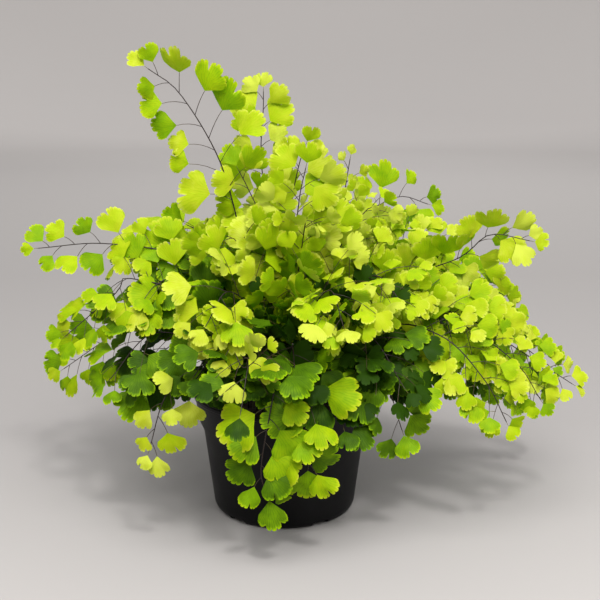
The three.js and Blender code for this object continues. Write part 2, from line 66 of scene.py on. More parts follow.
# Side stalks: angles in degrees, lengths in millimetres, the rest shares
spray = {
    "leafy": 0.97, "fewest": 4, "angle": 66, "angleLoss": 20, "angleRoll": 14, "lift": 0.3, "firstTaper": 0.6,
    "taperRise": 2, "taperPower": 0.6, "smallLeaf": 0.76, "leafRise": 2.2, "shortest": 3.5, "lengthRoll": 3,
    "reach": 0.8, "reachRoll": 0.4, "narrow": 18, "closeness": 0.8, "sweep": 0.1, "sag": 0.35,
    "sideLeaf": 0.96, "sideAngle": 52, "sideAngleRoll": 16, "sideStalk": 2, "sideStalkRoll": 2.5,
    "tipLeaf": 0.75, "tipStalk": 3, "turnToLight": 1.0,
}
# Leaflets: twist and pitch in degrees, sizes as shares of the radius, depths in millimetres
leaf = {
    "twist": 56, "pitch": 40, "smallest": 0.74, "variation": 0.5, "kinds": 6, "halfWidth": 0.75,
    "tintRoll": 0.5, "tintDepth": 0.42, "depthCentre": (0, 0, 100), "depthFrom": 45, "depthSpan": 55,
}
room = {"floor": 2.5, "rim": 1.5, "wall": 1.8, "soil": 2, "insideRadius": 50}
# In front of the pot only the shown fronds hang lower than a line that rises outwards from its rim
front = {"slope": 0.355, "margin": 2}
dice = {"step": 7919, "start": 104729, "factor": 48271, "modulus": 2147483647}


def plus(a, b, share=1.0):
    return (a[0] + b[0] * share, a[1] + b[1] * share, a[2] + b[2] * share)


def times(a, share):
    return (a[0] * share, a[1] * share, a[2] * share)


def minus(a, b):
    return (a[0] - b[0], a[1] - b[1], a[2] - b[2])


def dot(a, b):
    return a[0] * b[0] + a[1] * b[1] + a[2] * b[2]


def cross(a, b):
    return (a[1] * b[2] - a[2] * b[1], a[2] * b[0] - a[0] * b[2], a[0] * b[1] - a[1] * b[0])


def size(a):
    return math.sqrt(dot(a, a))


def unit(a):
    return times(a, 1 / size(a))


def perpendicular(a, axis):
    return unit(plus(a, axis, -dot(a, axis)))


def makeDice(seed):
    state = seed * dice["step"] + dice["start"]

    def roll():
        nonlocal state
        state = state * dice["factor"] % dice["modulus"]
        return state / dice["modulus"]
    return roll


# Fronds seen apart in the photo: name, places that the stem passes after its foot, the foot's distance from
# the axis, bare share, breadth, leaflet radius, spacing, droop, the azimuth and elevation it faces, tint
planFields = ("name", "places", "foot", "bare", "breadth", "leaf", "spacing", "droop", "az", "el", "tint")
# The tint sets the leaflets' green; the low tints of the front, inner and under fronds are partly older,
# deeper green leaves and partly painted shade below the mound
shownFronds = [
    ("tall_left", [(-17, -6, 142), (-27, -8, 185), (-40, -10, 233), (-63, -12, 273), (-82, -12, 288)],
     8, 0.57, 16.4, 17.5, 8.2, 0.06, -10, 10, 0.8),
    ("bright_top", [(-1, 8, 172), (-14, 14, 223), (-13, 18, 264), (-13, 20, 273)],
     6, 0.61, 3.5, 17, 6.2, 0.04, 0, 18, 1.0),
    ("top_right", [(0, 2, 165), (4, 4, 205), (9, 4, 228), (14, 4, 240)],
     4, 0.45, 5, 18, 7.5, 0.1, 8, 18, 0.95),
    ("top_left", [(-6, -6, 160), (-14, -8, 195), (-22, -8, 214), (-28, -8, 226)],
     5, 0.45, 8, 18, 7.5, 0.15, -10, 18, 0.8),
    ("top_middle", [(6, -25, 166), (10, -30, 210), (14, -32, 230)],
     10, 0.4, 24, 17.5, 7.5, 0.15, 5, 18, 0.98),
    ("thin_upright", [(27, 25, 155), (39, 35, 201), (44, 40, 228)],
     9, 0.5, 14, 8.5, 9, 0.1, 15, 12, 0.98),
    ("back_right", [(35, 60, 155), (61, 90, 184), (84, 105, 194), (106, 115, 187)],
     12, 0.5, 16, 19, 9.5, 0.1, 26, 18, 0.6),
    ("right_high", [(72, -5, 148), (112, -15, 172), (129, -20, 187), (153, -25, 184)],
     14, 0.55, 4.7, 15.5, 5.7, 0.06, 30, 2, 1.0),
    ("right_middle", [(50, 0, 134), (100, 5, 150), (140, 8, 138), (156, 10, 122)],
     18, 0.4, 22, 13, 6.2, 0.3, 28, 24, 0.86),
    ("right_inner", [(45, 20, 145), (80, 30, 172), (108, 36, 172)],
     14, 0.4, 26, 12.5, 6.5, 0.25, 20, 25, 0.9),
    ("right_low_far", [(62, -10, 140), (111, -25, 137), (149, -30, 115), (183, -30, 93)],
     16, 0.38, 22, 13, 6.0, 0.3, 24, 24, 0.88),
    ("right_low_front", [(61, -25, 127), (96, -50, 130), (122, -60, 105), (136, -62, 79)],
     14, 0.38, 24, 12.5, 6.2, 0.35, 20, 20, 0.88),
    ("right_low_mid", [(60, -18, 130), (104, -38, 136), (142, -48, 113), (159, -50, 89)],
     20, 0.38, 22, 13, 6.2, 0.35, 16, 20, 0.84),
    ("right_low_back", [(60, 16, 128), (110, 28, 130), (155, 34, 106), (184, 36, 85)],
     22, 0.42, 22, 13, 6.2, 0.35, 34, 22, 0.75),
    # right_under's dark tint is painted shade on the leaflets under the right fronds
    ("right_under", [(60, 32, 112), (120, 44, 98), (163, 48, 74), (182, 50, 57)],
     26, 0.45, 22, 13, 6.6, 0.35, 30, 16, 0.35),
    ("right_outer", [(50, 12, 140), (90, 15, 154), (126, 18, 150), (146, 18, 140)],
     10, 0.42, 22, 12.5, 6.4, 0.3, 34, 24, 0.85),
    ("right_hanging", [(48, -40, 118), (61, -65, 108), (72, -70, 76)],
     20, 0.40, 22, 17, 10, 0.4, 22, 14, 0.54),
    ("left_long", [(-35, -5, 142), (-64, -10, 171), (-113, -12, 180), (-155, -12, 177)],
     14, 0.52, 6.3, 14.5, 8.4, 0.03, -24, 24, 0.74),
    ("left_middle", [(-37, -15, 136), (-94, -25, 160), (-104, -30, 152), (-137, -30, 124)],
     18, 0.5, 15.1, 14.5, 4.8, 0.2, -29, 30, 0.8),
    ("left_low_back", [(-36, 20, 113), (-85, 45, 112), (-118, 60, 103), (-160, 62, 75)],
     22, 0.55, 16.2, 16.5, 5.8, 0.38, -38, 4, 0.7),
    ("lower_left", [(-36, -38, 121), (-52, -65, 107), (-68, -80, 102), (-79, -82, 68)],
     20, 0.62, 5.0, 13.5, 9.0, 0.88, 0, 10, 0.98),
    ("front_arc", [(-32, -60, 124), (-31, -80, 142), (-22, -100, 125), (-9, -112, 138)],
     16, 0.51, 5.3, 12.5, 7.0, 0.43, -9, 16, 1.0),
    ("front_hanging", [(-3, -60, 114), (-5, -92, 105), (-12, -100, 64), (-8, -100, 47)],
     22, 0.58, 3.9, 20.5, 7.2, 0.21, 5, 30, 0.56),
    ("front_hanging_right", [(10, -58, 114), (19, -86, 101), (6, -98, 84), (19, -96, 61)],
     22, 0.44, 3.6, 20.5, 7.9, 0.14, -12, 12, 0.56),
    # The low tints of the front low and inner fronds are partly older leaves and partly painted shade under
    # the mound
    ("front_low", [(20, -48, 112), (30, -72, 112), (36, -84, 84)],
     21, 0.4, 22, 18, 9, 0.4, 10, 12, 0.08),
    ("front_low_left", [(-14, -46, 112), (-17, -70, 122), (-17, -82, 112)],
     22, 0.4, 20, 17, 9, 0.4, -12, 12, 0.1),
    ("front_inner", [(4, -34, 110), (6, -60, 126), (8, -88, 112)],
     13, 0.32, 34, 17, 8, 0.35, 0, 14, 0.16),
    ("front_inner_left", [(-20, -30, 110), (-38, -54, 128), (-52, -76, 112)],
     12, 0.32, 34, 17, 8, 0.35, -14, 16, 0.28),
    ("front_inner_right", [(26, -28, 112), (46, -50, 130), (60, -70, 112)],
     16, 0.32, 34, 16, 8, 0.35, 16, 16, 0.28),
]
# Whorls that fill the mound; shoulder and bend are each a share of the reach and a height
whorlRule = {
    "seed": 500, "seedStep": 40, "sway": 0.35, "reach": 0.88, "reachRoll": 0.24, "backReach": 0.14,
    "rise": 0.93, "riseRoll": 0.14, "facing": 0.6, "facingLimit": 100, "elevation": 36, "tintRoll": 0.36,
    "leafLean": 0.2,
}
# sideLightTint paints each whorl lighter or darker by side: the upper whorls lighter on the right and darker
# on the left as painted light from the right, the lower whorls darker on the right as painted shade under the
# right fronds
whorls = [
    {"name": "upper", "count": 6, "first": 20, "reach": 60, "shoulder": (0.35, 140), "bend": (0.8, 188),
     "tip": 196, "foot": 5, "bare": 0.34, "breadth": 42, "leaf": 13.5, "spacing": 6.6, "droop": 0.2,
     "tint": 0.95, "sideLightTint": 0.22},
    {"name": "middle", "count": 8, "first": -75, "reach": 105, "shoulder": (0.35, 135),
     "bend": (0.75, 166), "tip": 150, "foot": 12, "bare": 0.34, "breadth": 40, "leaf": 14.5,
     "spacing": 6.6, "droop": 0.3, "tint": 0.88, "sideLightTint": 0.22},
    # The low tints of the lower and skirt whorls are partly older, deeper green leaves and partly painted
    # shade under the mound
    {"name": "lower", "count": 7, "first": 92, "reach": 122, "shoulder": (0.4, 118), "bend": (0.75, 137),
     "tip": 108, "foot": 20, "bare": 0.34, "breadth": 38, "leaf": 15.5, "spacing": 7, "droop": 0.35,
     "tint": 0.14, "sideLightTint": -0.22},
    {"name": "skirt", "count": 7, "first": 24, "reach": 84, "shoulder": (0.4, 98), "bend": (0.78, 114),
     "tip": 100, "foot": 24, "bare": 0.3, "breadth": 36, "leaf": 17.5, "spacing": 7.5, "droop": 0.4,
     "tint": 0.0, "sideLightTint": -0.12},
]


def allPlans():
    plans = [dict(zip(planFields, row), inWhorl=False) for row in shownFronds]
    rule = whorlRule
    for w, whorl in enumerate(whorls):
        for k in range(whorl["count"]):
            roll = makeDice(rule["seed"] + rule["seedStep"] * w + k)
            azimuth = whorl["first"] + 360 / whorl["count"] * (k + rule["sway"] * (roll() - 0.5))
            a = math.radians(azimuth)
            reach = whorl["reach"] * (rule["reach"] + rule["reachRoll"] * roll())
            reach *= 1 - rule["backReach"] * math.cos(a)
            rise = rule["rise"] + rule["riseRoll"] * roll()
            out = (math.sin(a), -math.cos(a))
            growth = 1 - rule["leafLean"] * out[0]
            places = [(out[0] * reach * share, out[1] * reach * share, z * rise)
                      for share, z in (whorl["shoulder"], whorl["bend"], (1, whorl["tip"]))]
            turned = (azimuth + 540) % 360 - 180
            plans.append({
                **{key: whorl[key] for key in ("foot", "bare", "breadth", "droop")},
                "name": "%s_%d" % (whorl["name"], k + 1), "inWhorl": True, "places": places,
                "leaf": whorl["leaf"] * growth, "spacing": whorl["spacing"] * growth,
                "az": turned * (rule["facing"] if abs(turned) < rule["facingLimit"] else 1),
                "el": rule["elevation"],
                # the whorl's green, with sideLightTint adding painted light and shade by side
                "tint": whorl["tint"] + whorl["sideLightTint"] * out[0] + rule["tintRoll"] * (roll() - 0.5),
            })
    return plans


# A smooth curve through points; the first and last only steer its ends
def curvePoint(p, t):
    n = len(p) - 3
    i = min(int(t * n), n - 1)
    s = t * n - i
    a, b, c, d = p[i:i + 4]
    return tuple(0.5 * (2 * b[q] + (c[q] - a[q]) * s + (2 * a[q] - 5 * b[q] + 4 * c[q] - d[q]) * s * s
                        + (3 * b[q] - a[q] - 3 * c[q] + d[q]) * s ** 3) for q in range(3))


def curveTangent(p, t):
    reach = stem["tangentReach"]
    return unit(minus(curvePoint(p, min(1, t + reach)), curvePoint(p, max(0, t - reach))))


def evenParameters(p, shares):
    samples = stem["samples"]
    points = [curvePoint(p, i / samples) for i in range(samples + 1)]
    lengths = [0.0]
    for a, b in zip(points, points[1:]):
        lengths.append(lengths[-1] + size(minus(b, a)))
    found = []
    for share in shares:
        target = share * lengths[-1]
        i = 0
        while i < samples - 1 and lengths[i + 1] < target:
            i += 1
        found.append((i + (target - lengths[i]) / (lengths[i + 1] - lengths[i])) / samples)
    return found, lengths[-1]


def potRadius(z):
    if z > bodyTopZ:
        return rimRadius
    i = next(i for i in range(1, len(potOutside)) if potOutside[i][1] >= z)
    (r1, z1), (r2, z2) = potOutside[i - 1], potOutside[i]
    return r1 + (r2 - r1) * (z - z1) / (z2 - z1)


# Room for a leaflet: above the floor and clear of the pot and the soil
def isFree(p):
    r = math.hypot(p[0], p[1])
    outside = r > potRadius(p[2]) + room["wall"]
    overSoil = r < room["insideRadius"] and p[2] > soilTop + soilCrown + room["soil"]
    return p[2] >= room["floor"] and (p[2] >= potHeight + room["rim"] or outside or overSoil)


def makeLeaflet(path, heading, normal, radius, roll, rank):
    axis = unit(heading)
    n = perpendicular(normal, axis)
    twist = math.radians(leaf["twist"]) * (roll() - 0.5)
    pitch = math.radians(leaf["pitch"]) * (roll() - 0.5)
    side = cross(n, axis)
    n = plus(times(n, math.cos(twist)), side, math.sin(twist))
    axis = plus(times(axis, math.cos(pitch)), n, math.sin(pitch))
    n = perpendicular(n, axis)
    length = radius * (leaf["smallest"] + leaf["variation"] * roll())
    return {"path": path, "axis": axis, "normal": n, "radius": length, "kind": int(roll() * leaf["kinds"]),
            "bend": roll(), "rank": rank}


def hidesRim(p):
    if abs(p[0]) >= rimRadius:
        return False
    gap = -math.sqrt(rimRadius ** 2 - p[0] ** 2) - p[1]
    return gap > 0 and p[2] < potHeight + front["margin"] + front["slope"] * gap


def leafletIsFree(leaflet, plan):
    axis, radius = leaflet["axis"], leaflet["radius"]
    side = cross(leaflet["normal"], axis)
    middle = plus(leaflet["path"][1], axis, 0.5 * radius)
    reach = leaf["halfWidth"] * radius
    points = (middle, plus(middle, axis, 0.5 * radius), plus(middle, side, reach), plus(middle, side, -reach))
    return all(isFree(p) and not (plan["inWhorl"] and hidesRim(p)) for p in points)


def guidePoints(plan, offset):
    first = plan["places"][0]
    out = unit((first[0], first[1], 0))
    side = (-out[1], out[0], 0)
    fade = stem["sidewaysFade"]
    foot = plus(times(out, plan["foot"]), side, fade * offset)
    foot = (foot[0], foot[1], stem["footZ"])
    last = len(plan["places"]) - 1
    places = [plus(q, side, 0 if i == last else offset * fade ** i) for i, q in enumerate(plan["places"])]
    below = plus(places[0], up, -stem["footSteepness"] * size(minus(places[0], foot)))
    return [below, foot, *places, plus(times(places[-1], 2), places[-2], -1)]


def segmentGap(p1, q1, p2, q2):
    d1, d2, r = minus(q1, p1), minus(q2, p2), minus(p1, p2)
    a, e, f, c, b = dot(d1, d1), dot(d2, d2), dot(d2, r), dot(d1, r), dot(d1, d2)
    denominator = a * e - b * b
    s = min(1, max(0, (b * f - c * e) / denominator)) if denominator > 1e-9 else 0
    t = (b * s + f) / e
    if t < 0 or t > 1:
        t = min(1, max(0, t))
        s = min(1, max(0, (b * t - c) / a))
    return size(minus(plus(p1, d1, s), plus(p2, d2, t)))


def stemPath(guides):
    _, length = evenParameters(guides, [1])
    steps = max(stem["fewestSteps"], int(length / stem["step"] + 0.5))
    params, _ = evenParameters(guides, [i / steps for i in range(steps + 1)])
    points = [curvePoint(guides, t) for t in params]
    return [plus(points[0], up, -stem["rootDepth"])] + points, length


def pathsAreClear(a, b):
    return all(segmentGap(a[i], a[i + 1], b[j], b[j + 1]) >= stem["clearance"]
               for i in range(len(a) - 1) for j in range(len(b) - 1))


# The stem's guide points, moved sideways until it stands clear of the stems before it
def placeStem(plan, others):
    for step in range(stem["sidewaysTries"]):
        offset = (1 if step % 2 else -1) * stem["sidewaysStep"] * math.ceil(step / 2)
        guides = guidePoints(plan, offset)
        path, length = stemPath(guides)
        if all(pathsAreClear(path, other) for other in others):
            return guides, path, length
    raise ValueError("no room for the stem of " + plan["name"])


# Side stalks in turn left and right, each with a leaflet at its end and more along it
def growLeaflets(plan, guides, length, number):
    roll = makeDice(number)
    tip = plan["places"][-1]
    bare = plan["bare"]
    count = max(spray["fewest"], int(length * (1 - bare) / plan["spacing"] + 0.5))
    leafy = spray["leafy"] * (1 - bare)
    params, _ = evenParameters(guides, [bare + leafy * (k + 0.5) / count for k in range(count)])
    az, el = math.radians(plan["az"]), math.radians(plan["el"])
    face = (math.sin(az) * math.cos(el), -math.cos(az) * math.cos(el), math.sin(el))
    leaflets, stalks = [], []

    def hang(axis):
        return unit(plus(axis, up, -plan["droop"]))
    for k, t in enumerate(params):
        u = (k + 0.5) / count
        start, along = curvePoint(guides, t), curveTangent(guides, t)
        n = perpendicular(face, along)
        across = times(cross(along, n), 1 if k % 2 else -1)
        spread = math.radians(spray["angle"] - spray["angleLoss"] * u + spray["angleRoll"] * (roll() - 0.5))
        heading = plus(times(along, math.cos(spread)), across, math.sin(spread))
        heading = unit(plus(heading, n, spray["lift"] * (roll() - 0.5)))
        taper = min(1, spray["firstTaper"] + spray["taperRise"] * u) * (1 - u) ** spray["taperPower"]
        large = (1 - spray["smallLeaf"]) * min(1, spray["leafRise"] * (1 - u))
        radius = plan["leaf"] * (spray["smallLeaf"] + large)
        reach = spray["shortest"] + spray["lengthRoll"] * roll()
        reach += plan["breadth"] * taper * (spray["reach"] + spray["reachRoll"] * roll())
        several = 1 if plan["breadth"] < spray["narrow"] else 1 + int(reach / (radius * spray["closeness"]))
        sag = -spray["sag"] * plan["droop"] * reach
        end = plus(plus(plus(start, heading, reach), along, spray["sweep"] * reach), up, sag)
        stalk = minus(end, start)
        stalkIsFree = isFree(end) and isFree(plus(start, stalk, 0.5))
        light = plus(n, face, spray["turnToLight"])
        main = makeLeaflet([start, end], hang(unit(stalk)), light, radius, roll, 0)
        if stalkIsFree and leafletIsFree(main, plan):
            leaflets.append(main)
        extras = []
        for j in range(1, several):
            point = plus(start, stalk, j / several)
            lean = times(cross(perpendicular(n, heading), heading), 1 if (j + k) % 2 else -1)
            turn = math.radians(spray["sideAngle"] + spray["sideAngleRoll"] * roll())
            axis = plus(times(heading, math.cos(turn)), lean, math.sin(turn))
            base = plus(point, axis, spray["sideStalk"] + spray["sideStalkRoll"] * roll())
            extra = makeLeaflet([point, base], hang(axis), light, radius * spray["sideLeaf"], roll, j)
            if stalkIsFree and leafletIsFree(extra, plan):
                extras.append(extra)
        leaflets += extras
        if stalkIsFree and (leafletIsFree(main, plan) or extras):
            stalks.append([start, end])
    along = curveTangent(guides, 1)
    leaflets.append(makeLeaflet([tip, plus(tip, along, spray["tipStalk"])], along, perpendicular(face, along),
                                plan["leaf"] * spray["tipLeaf"], roll, 1))
    # Leaflets near the middle of the mound get a lower, darker tint by tintDepth: partly older leaves, partly
    # painted shade inside the mound
    for leaflet in leaflets:
        away = size(minus(leaflet["path"][-1], leaf["depthCentre"]))
        inside = min(1, max(0, 1 - (away - leaf["depthFrom"]) / leaf["depthSpan"]))
        rolled = plan["tint"] + leaf["tintRoll"] * (leaflet["bend"] - 0.5)
        leaflet["tint"] = rolled - leaf["tintDepth"] * inside
    return leaflets, stalks


def growAll():
    grown, paths = [], []
    for i, plan in enumerate(allPlans()):
        guides, path, length = placeStem(plan, paths)
        paths.append(path)
        leaflets, stalks = growLeaflets(plan, guides, length, i + 1)
        grown.append({"plan": plan, "guides": guides, "leaflets": leaflets, "stalks": stalks})
    return grown


# Looks
def say(text):
    print("fern:", text)


def link(ob):
    bpy.context.scene.collection.objects.link(ob)
    return ob


def metres(points):
    return [tuple(q * mm for q in p) for p in points]


def meshObject(name, verts, faces, edges=()):
    mesh = bpy.data.meshes.new(name)
    mesh.from_pydata(verts, edges, faces)
    mesh.polygons.foreach_set("use_smooth", [True] * len(mesh.polygons))
    return bpy.data.objects.new(name, mesh)


def setAttribute(mesh, name, kind, values):
    field = "vector" if kind == "FLOAT_VECTOR" else "value"
    flat = [q for value in values for q in value] if kind == "FLOAT_VECTOR" else values
    mesh.attributes.new(name, kind, "POINT").data.foreach_set(field, flat)


def sharpenEdges(mesh, degrees):
    work = bmesh.new()
    work.from_mesh(mesh)
    for edge in work.edges:
        edge.smooth = len(edge.link_faces) == 2 and edge.calc_face_angle() < math.radians(degrees)
    work.to_mesh(mesh)
    work.free()


# Node trees
def addNode(tree, kind, inputs=None, **settings):
    node = tree.nodes.new(kind)
    for name, value in settings.items():
        setattr(node, name, value)
    for key, value in (inputs or {}).items():
        if isinstance(value, bpy.types.NodeSocket):
            tree.links.new(value, node.inputs[key])
        else:
            node.inputs[key].default_value = value
    return node


def calculate(tree, operation, *values):
    return addNode(tree, "ShaderNodeMath", dict(enumerate(values)), operation=operation).outputs[0]


def ramp(tree, factor, stops):
    node = addNode(tree, "ShaderNodeValToRGB", {"Fac": factor})
    elements = node.color_ramp.elements
    while len(elements) < len(stops):
        elements.new(0.5)
    for element, (position, colour) in zip(elements, stops):
        element.position = position
        element.color = (*colour, 1)
    return node.outputs["Color"]


def between(tree, value, low, high, newLow=0.0, newHigh=1.0):
    return addNode(tree, "ShaderNodeMapRange", {
        "Value": value, "From Min": low, "From Max": high, "To Min": newLow, "To Max": newHigh}).outputs[0]


def noiseOn(tree, place, scale, detail=3.0, roughness=0.5):
    return addNode(tree, "ShaderNodeTexNoise", {
        "Vector": place, "Scale": scale, "Detail": detail, "Roughness": roughness}).outputs["Fac"]


def newMaterial(name, roughness, specular):
    material = bpy.data.materials.new(name)
    material.use_nodes = True
    tree = material.node_tree
    skin = tree.nodes["Principled BSDF"]
    skin.inputs["Roughness"].default_value = roughness
    skin.inputs["Specular IOR Level"].default_value = specular
    place = tree.nodes.new("ShaderNodeTexCoord").outputs["Object"]
    return material, tree, skin, place


def addBump(tree, skin, height, strength, distance):
    bump = addNode(tree, "ShaderNodeBump", {"Height": height, "Strength": strength, "Distance": distance})
    tree.links.new(bump.outputs[0], skin.inputs["Normal"])


def newTree(name, inputs):
    tree = bpy.data.node_groups.new(name, "GeometryNodeTree")
    tree.interface.new_socket("Geometry", in_out="OUTPUT", socket_type="NodeSocketGeometry")
    tree.interface.new_socket("Geometry", in_out="INPUT", socket_type="NodeSocketGeometry")
    for socketName, kind in inputs:
        tree.interface.new_socket(socketName, in_out="INPUT", socket_type=kind)
    return tree, tree.nodes.new("NodeGroupInput").outputs


def readAttribute(tree, name, kind):
    node = addNode(tree, "GeometryNodeInputNamedAttribute", {"Name": name}, data_type=kind)
    return node.outputs["Attribute"]


def eachShape(tree, collection):
    return addNode(tree, "GeometryNodeCollectionInfo", {
        "Collection": collection, "Separate Children": True, "Reset Children": True}).outputs[0]


def closeTree(tree, geometry, material):
    real = addNode(tree, "GeometryNodeRealizeInstances", {"Geometry": geometry})
    coated = addNode(tree, "GeometryNodeSetMaterial", {"Geometry": real.outputs[0], "Material": material})
    end = tree.nodes.new("NodeGroupOutput")
    tree.links.new(coated.outputs[0], end.inputs[0])


def grow(ob, tree, values):
    modifier = ob.modifiers.new(tree.name, "NODES")
    modifier.node_group = tree
    for item in tree.interface.items_tree:
        if item.in_out == "INPUT" and item.name in values:
            modifier[item.identifier] = values[item.name]
    link(ob)
    graph = bpy.context.evaluated_depsgraph_get()
    mesh = bpy.data.meshes.new_from_object(
        ob.evaluated_get(graph), preserve_all_data_layers=True, depsgraph=graph)
    ob.modifiers.clear()
    ob.data = mesh
    return ob


def dropShapes(holder):
    for ob in list(holder.objects):
        bpy.data.objects.remove(ob)
    bpy.data.collections.remove(holder)


def declare(piece, slot, *nodes):
    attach(piece, "root")
    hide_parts(*nodes)


# Leaflet forms: half the fan's angle, lobes as shares of it, their teeth and lengths, the clefts' depth and
# the drop of the outer corners
formFields = ("half", "lobes", "teeth", "lengths", "cleft", "shoulder")
leafletForms = [
    (57, (0.33, 0.36, 0.31), (3, 3, 3), (0.94, 1.04, 0.95), 0.30, 0.24),
    (52, (0.54, 0.46), (5, 4), (1.02, 0.97), 0.40, 0.26),
    (61, (0.29, 0.42, 0.29), (2, 4, 2), (0.92, 1.03, 0.95), 0.22, 0.22),
    (49, (0.30, 0.38, 0.32), (2, 3, 3), (0.97, 1.04, 0.94), 0.15, 0.30),
    (56, (0.38, 0.62), (3, 6), (0.94, 1.04), 0.34, 0.26),
    (60, (0.30, 0.32, 0.38), (2, 3, 4), (0.90, 1.0, 1.04), 0.32, 0.22),
]
blade = {
    "rings": ((0.34, 5), (0.64, 9)), "cleftWidth": 2.3, "toothRound": 0.045, "toothDip": 0.055,
    "toothParts": (0.13, 0.5, 0.87), "lobeCrown": 0.07,
    "sharp": 100, "thickness": 0.011, "rise": 0.10, "riseTurns": 2.4, "fall": 0.18, "wave": 0.06, "waves": 6,
}


def leafletRim(form):
    points = []
    at = -form["half"]
    last = len(form["lobes"]) - 1
    for i, (share, teeth, length) in enumerate(zip(form["lobes"], form["teeth"], form["lengths"])):
        width = 2 * form["half"] * share
        low = at + (blade["cleftWidth"] if i else 0)
        high = at + width - (blade["cleftWidth"] if i < last else 0)
        for k in range(teeth):
            for part in blade["toothParts"]:
                s = (k + part) / teeth
                drop = blade["lobeCrown"] * (2 * s - 1) ** 2 + blade["toothRound"] * abs(2 * part - 1) ** 3
                if i == 0:
                    drop += form["shoulder"] * (1 - s) ** 3
                if i == last:
                    drop += form["shoulder"] * s ** 3
                points.append((low + (high - low) * s, length * (1 - drop)))
            if k < teeth - 1:
                s = (k + 1) / teeth
                drop = blade["lobeCrown"] * (2 * s - 1) ** 2 + blade["toothRound"] + blade["toothDip"]
                points.append((low + (high - low) * s, length * (1 - drop)))
        at += width
        if i < last:
            points.append((at, min(length, form["lengths"][i + 1]) * (1 - form["cleft"])))
    return points


# A thin closed blade, one unit long; its two faces share the base, the sides and the rim
def leafletShape(kind):
    form = dict(zip(formFields, leafletForms[kind]))
    rim = leafletRim(form)
    half = form["half"]
    verts, uvs, faces = [], [], []

    def addVertex(degrees, r, outward, thickness=0.0):
        a = math.radians(degrees)
        x, y = r * math.cos(a), r * math.sin(a)
        lift = blade["rise"] * math.sin(blade["riseTurns"] * r) - blade["fall"] * y * y
        lift += blade["wave"] * r * math.sin(blade["waves"] * a + kind)
        verts.append((x, y, lift + thickness))
        uvs.append((0.5 + 0.5 * degrees / half, outward))
        return len(verts) - 1

    base = [addVertex(0, 0, 0)]
    edge = [addVertex(a, r, 1) for a, r in rim]
    rings = [[half * (2 * i / (count - 1) - 1) for i in range(count)] for _, count in blade["rings"]]
    ends = [(addVertex(-half, share, share), addVertex(half, share, share)) for share, _ in blade["rings"]]
    angles = [[0], *rings, [a for a, _ in rim]]
    for sign in (1, -1):
        rows = [base]
        for (share, _), ring, (first, last) in zip(blade["rings"], rings, ends):
            middle = [addVertex(a, share, share, sign * blade["thickness"]) for a in ring[1:-1]]
            rows.append([first, *middle, last])
        rows.append(edge)
        for lower, upper, lowAngles, highAngles in zip(rows, rows[1:], angles, angles[1:]):
            i = j = 0
            while i < len(lower) - 1 or j < len(upper) - 1:
                nextLow = lowAngles[i + 1] if i < len(lower) - 1 else math.inf
                nextHigh = highAngles[j + 1] if j < len(upper) - 1 else math.inf
                if nextHigh <= nextLow:
                    face = (lower[i], upper[j], upper[j + 1])
                    j += 1
                else:
                    face = (lower[i], upper[j], lower[i + 1])
                    i += 1
                faces.append(face if sign > 0 else face[::-1])
    return verts, faces, uvs


def leafletCollection():
    holder = bpy.data.collections.new("leaflet shapes")
    for kind in range(len(leafletForms)):
        verts, faces, uvs = leafletShape(kind)
        ob = meshObject("leafletShape%d" % kind, verts, faces)
        layer = ob.data.uv_layers.new(name="leafletUV")
        for loop in ob.data.loops:
            layer.data[loop.index].uv = uvs[loop.vertex_index]
        sharpenEdges(ob.data, blade["sharp"])
        holder.objects.link(ob)
    return holder


# Leaflets: one instance on each point of a frond
def leafletTree():
    tree, given = newTree("grow leaflets", [
        ("Shapes", "NodeSocketCollection"), ("Material", "NodeSocketMaterial")])
    shapes = eachShape(tree, given["Shapes"])
    turn = addNode(tree, "FunctionNodeEulerToRotation", {0: readAttribute(tree, "turn", "FLOAT_VECTOR")})
    placed = addNode(tree, "GeometryNodeInstanceOnPoints", {
        "Points": given["Geometry"], "Instance": shapes, "Pick Instance": True,
        "Instance Index": readAttribute(tree, "kind", "INT"), "Rotation": turn.outputs[0],
        "Scale": readAttribute(tree, "stretch", "FLOAT_VECTOR")})
    closeTree(tree, placed.outputs[0], given["Material"])
    return tree


# Stems and stalks: a round wire along each row of points, as thick as its points say
def stemTree():
    tree, given = newTree("grow stems", [("Sides", "NodeSocketInt"), ("Material", "NodeSocketMaterial")])
    curve = addNode(tree, "GeometryNodeMeshToCurve", {"Mesh": given["Geometry"]})
    ring = addNode(tree, "GeometryNodeCurvePrimitiveCircle", {"Resolution": given["Sides"], "Radius": 1.0})
    wire = addNode(tree, "GeometryNodeCurveToMesh", {
        "Curve": curve.outputs[0], "Profile Curve": ring.outputs[0],
        "Scale": readAttribute(tree, "thickness", "FLOAT"), "Fill Caps": True})
    smooth = addNode(tree, "GeometryNodeSetShadeSmooth", {0: wire.outputs[0]})
    closeTree(tree, smooth.outputs[0], given["Material"])
    return tree


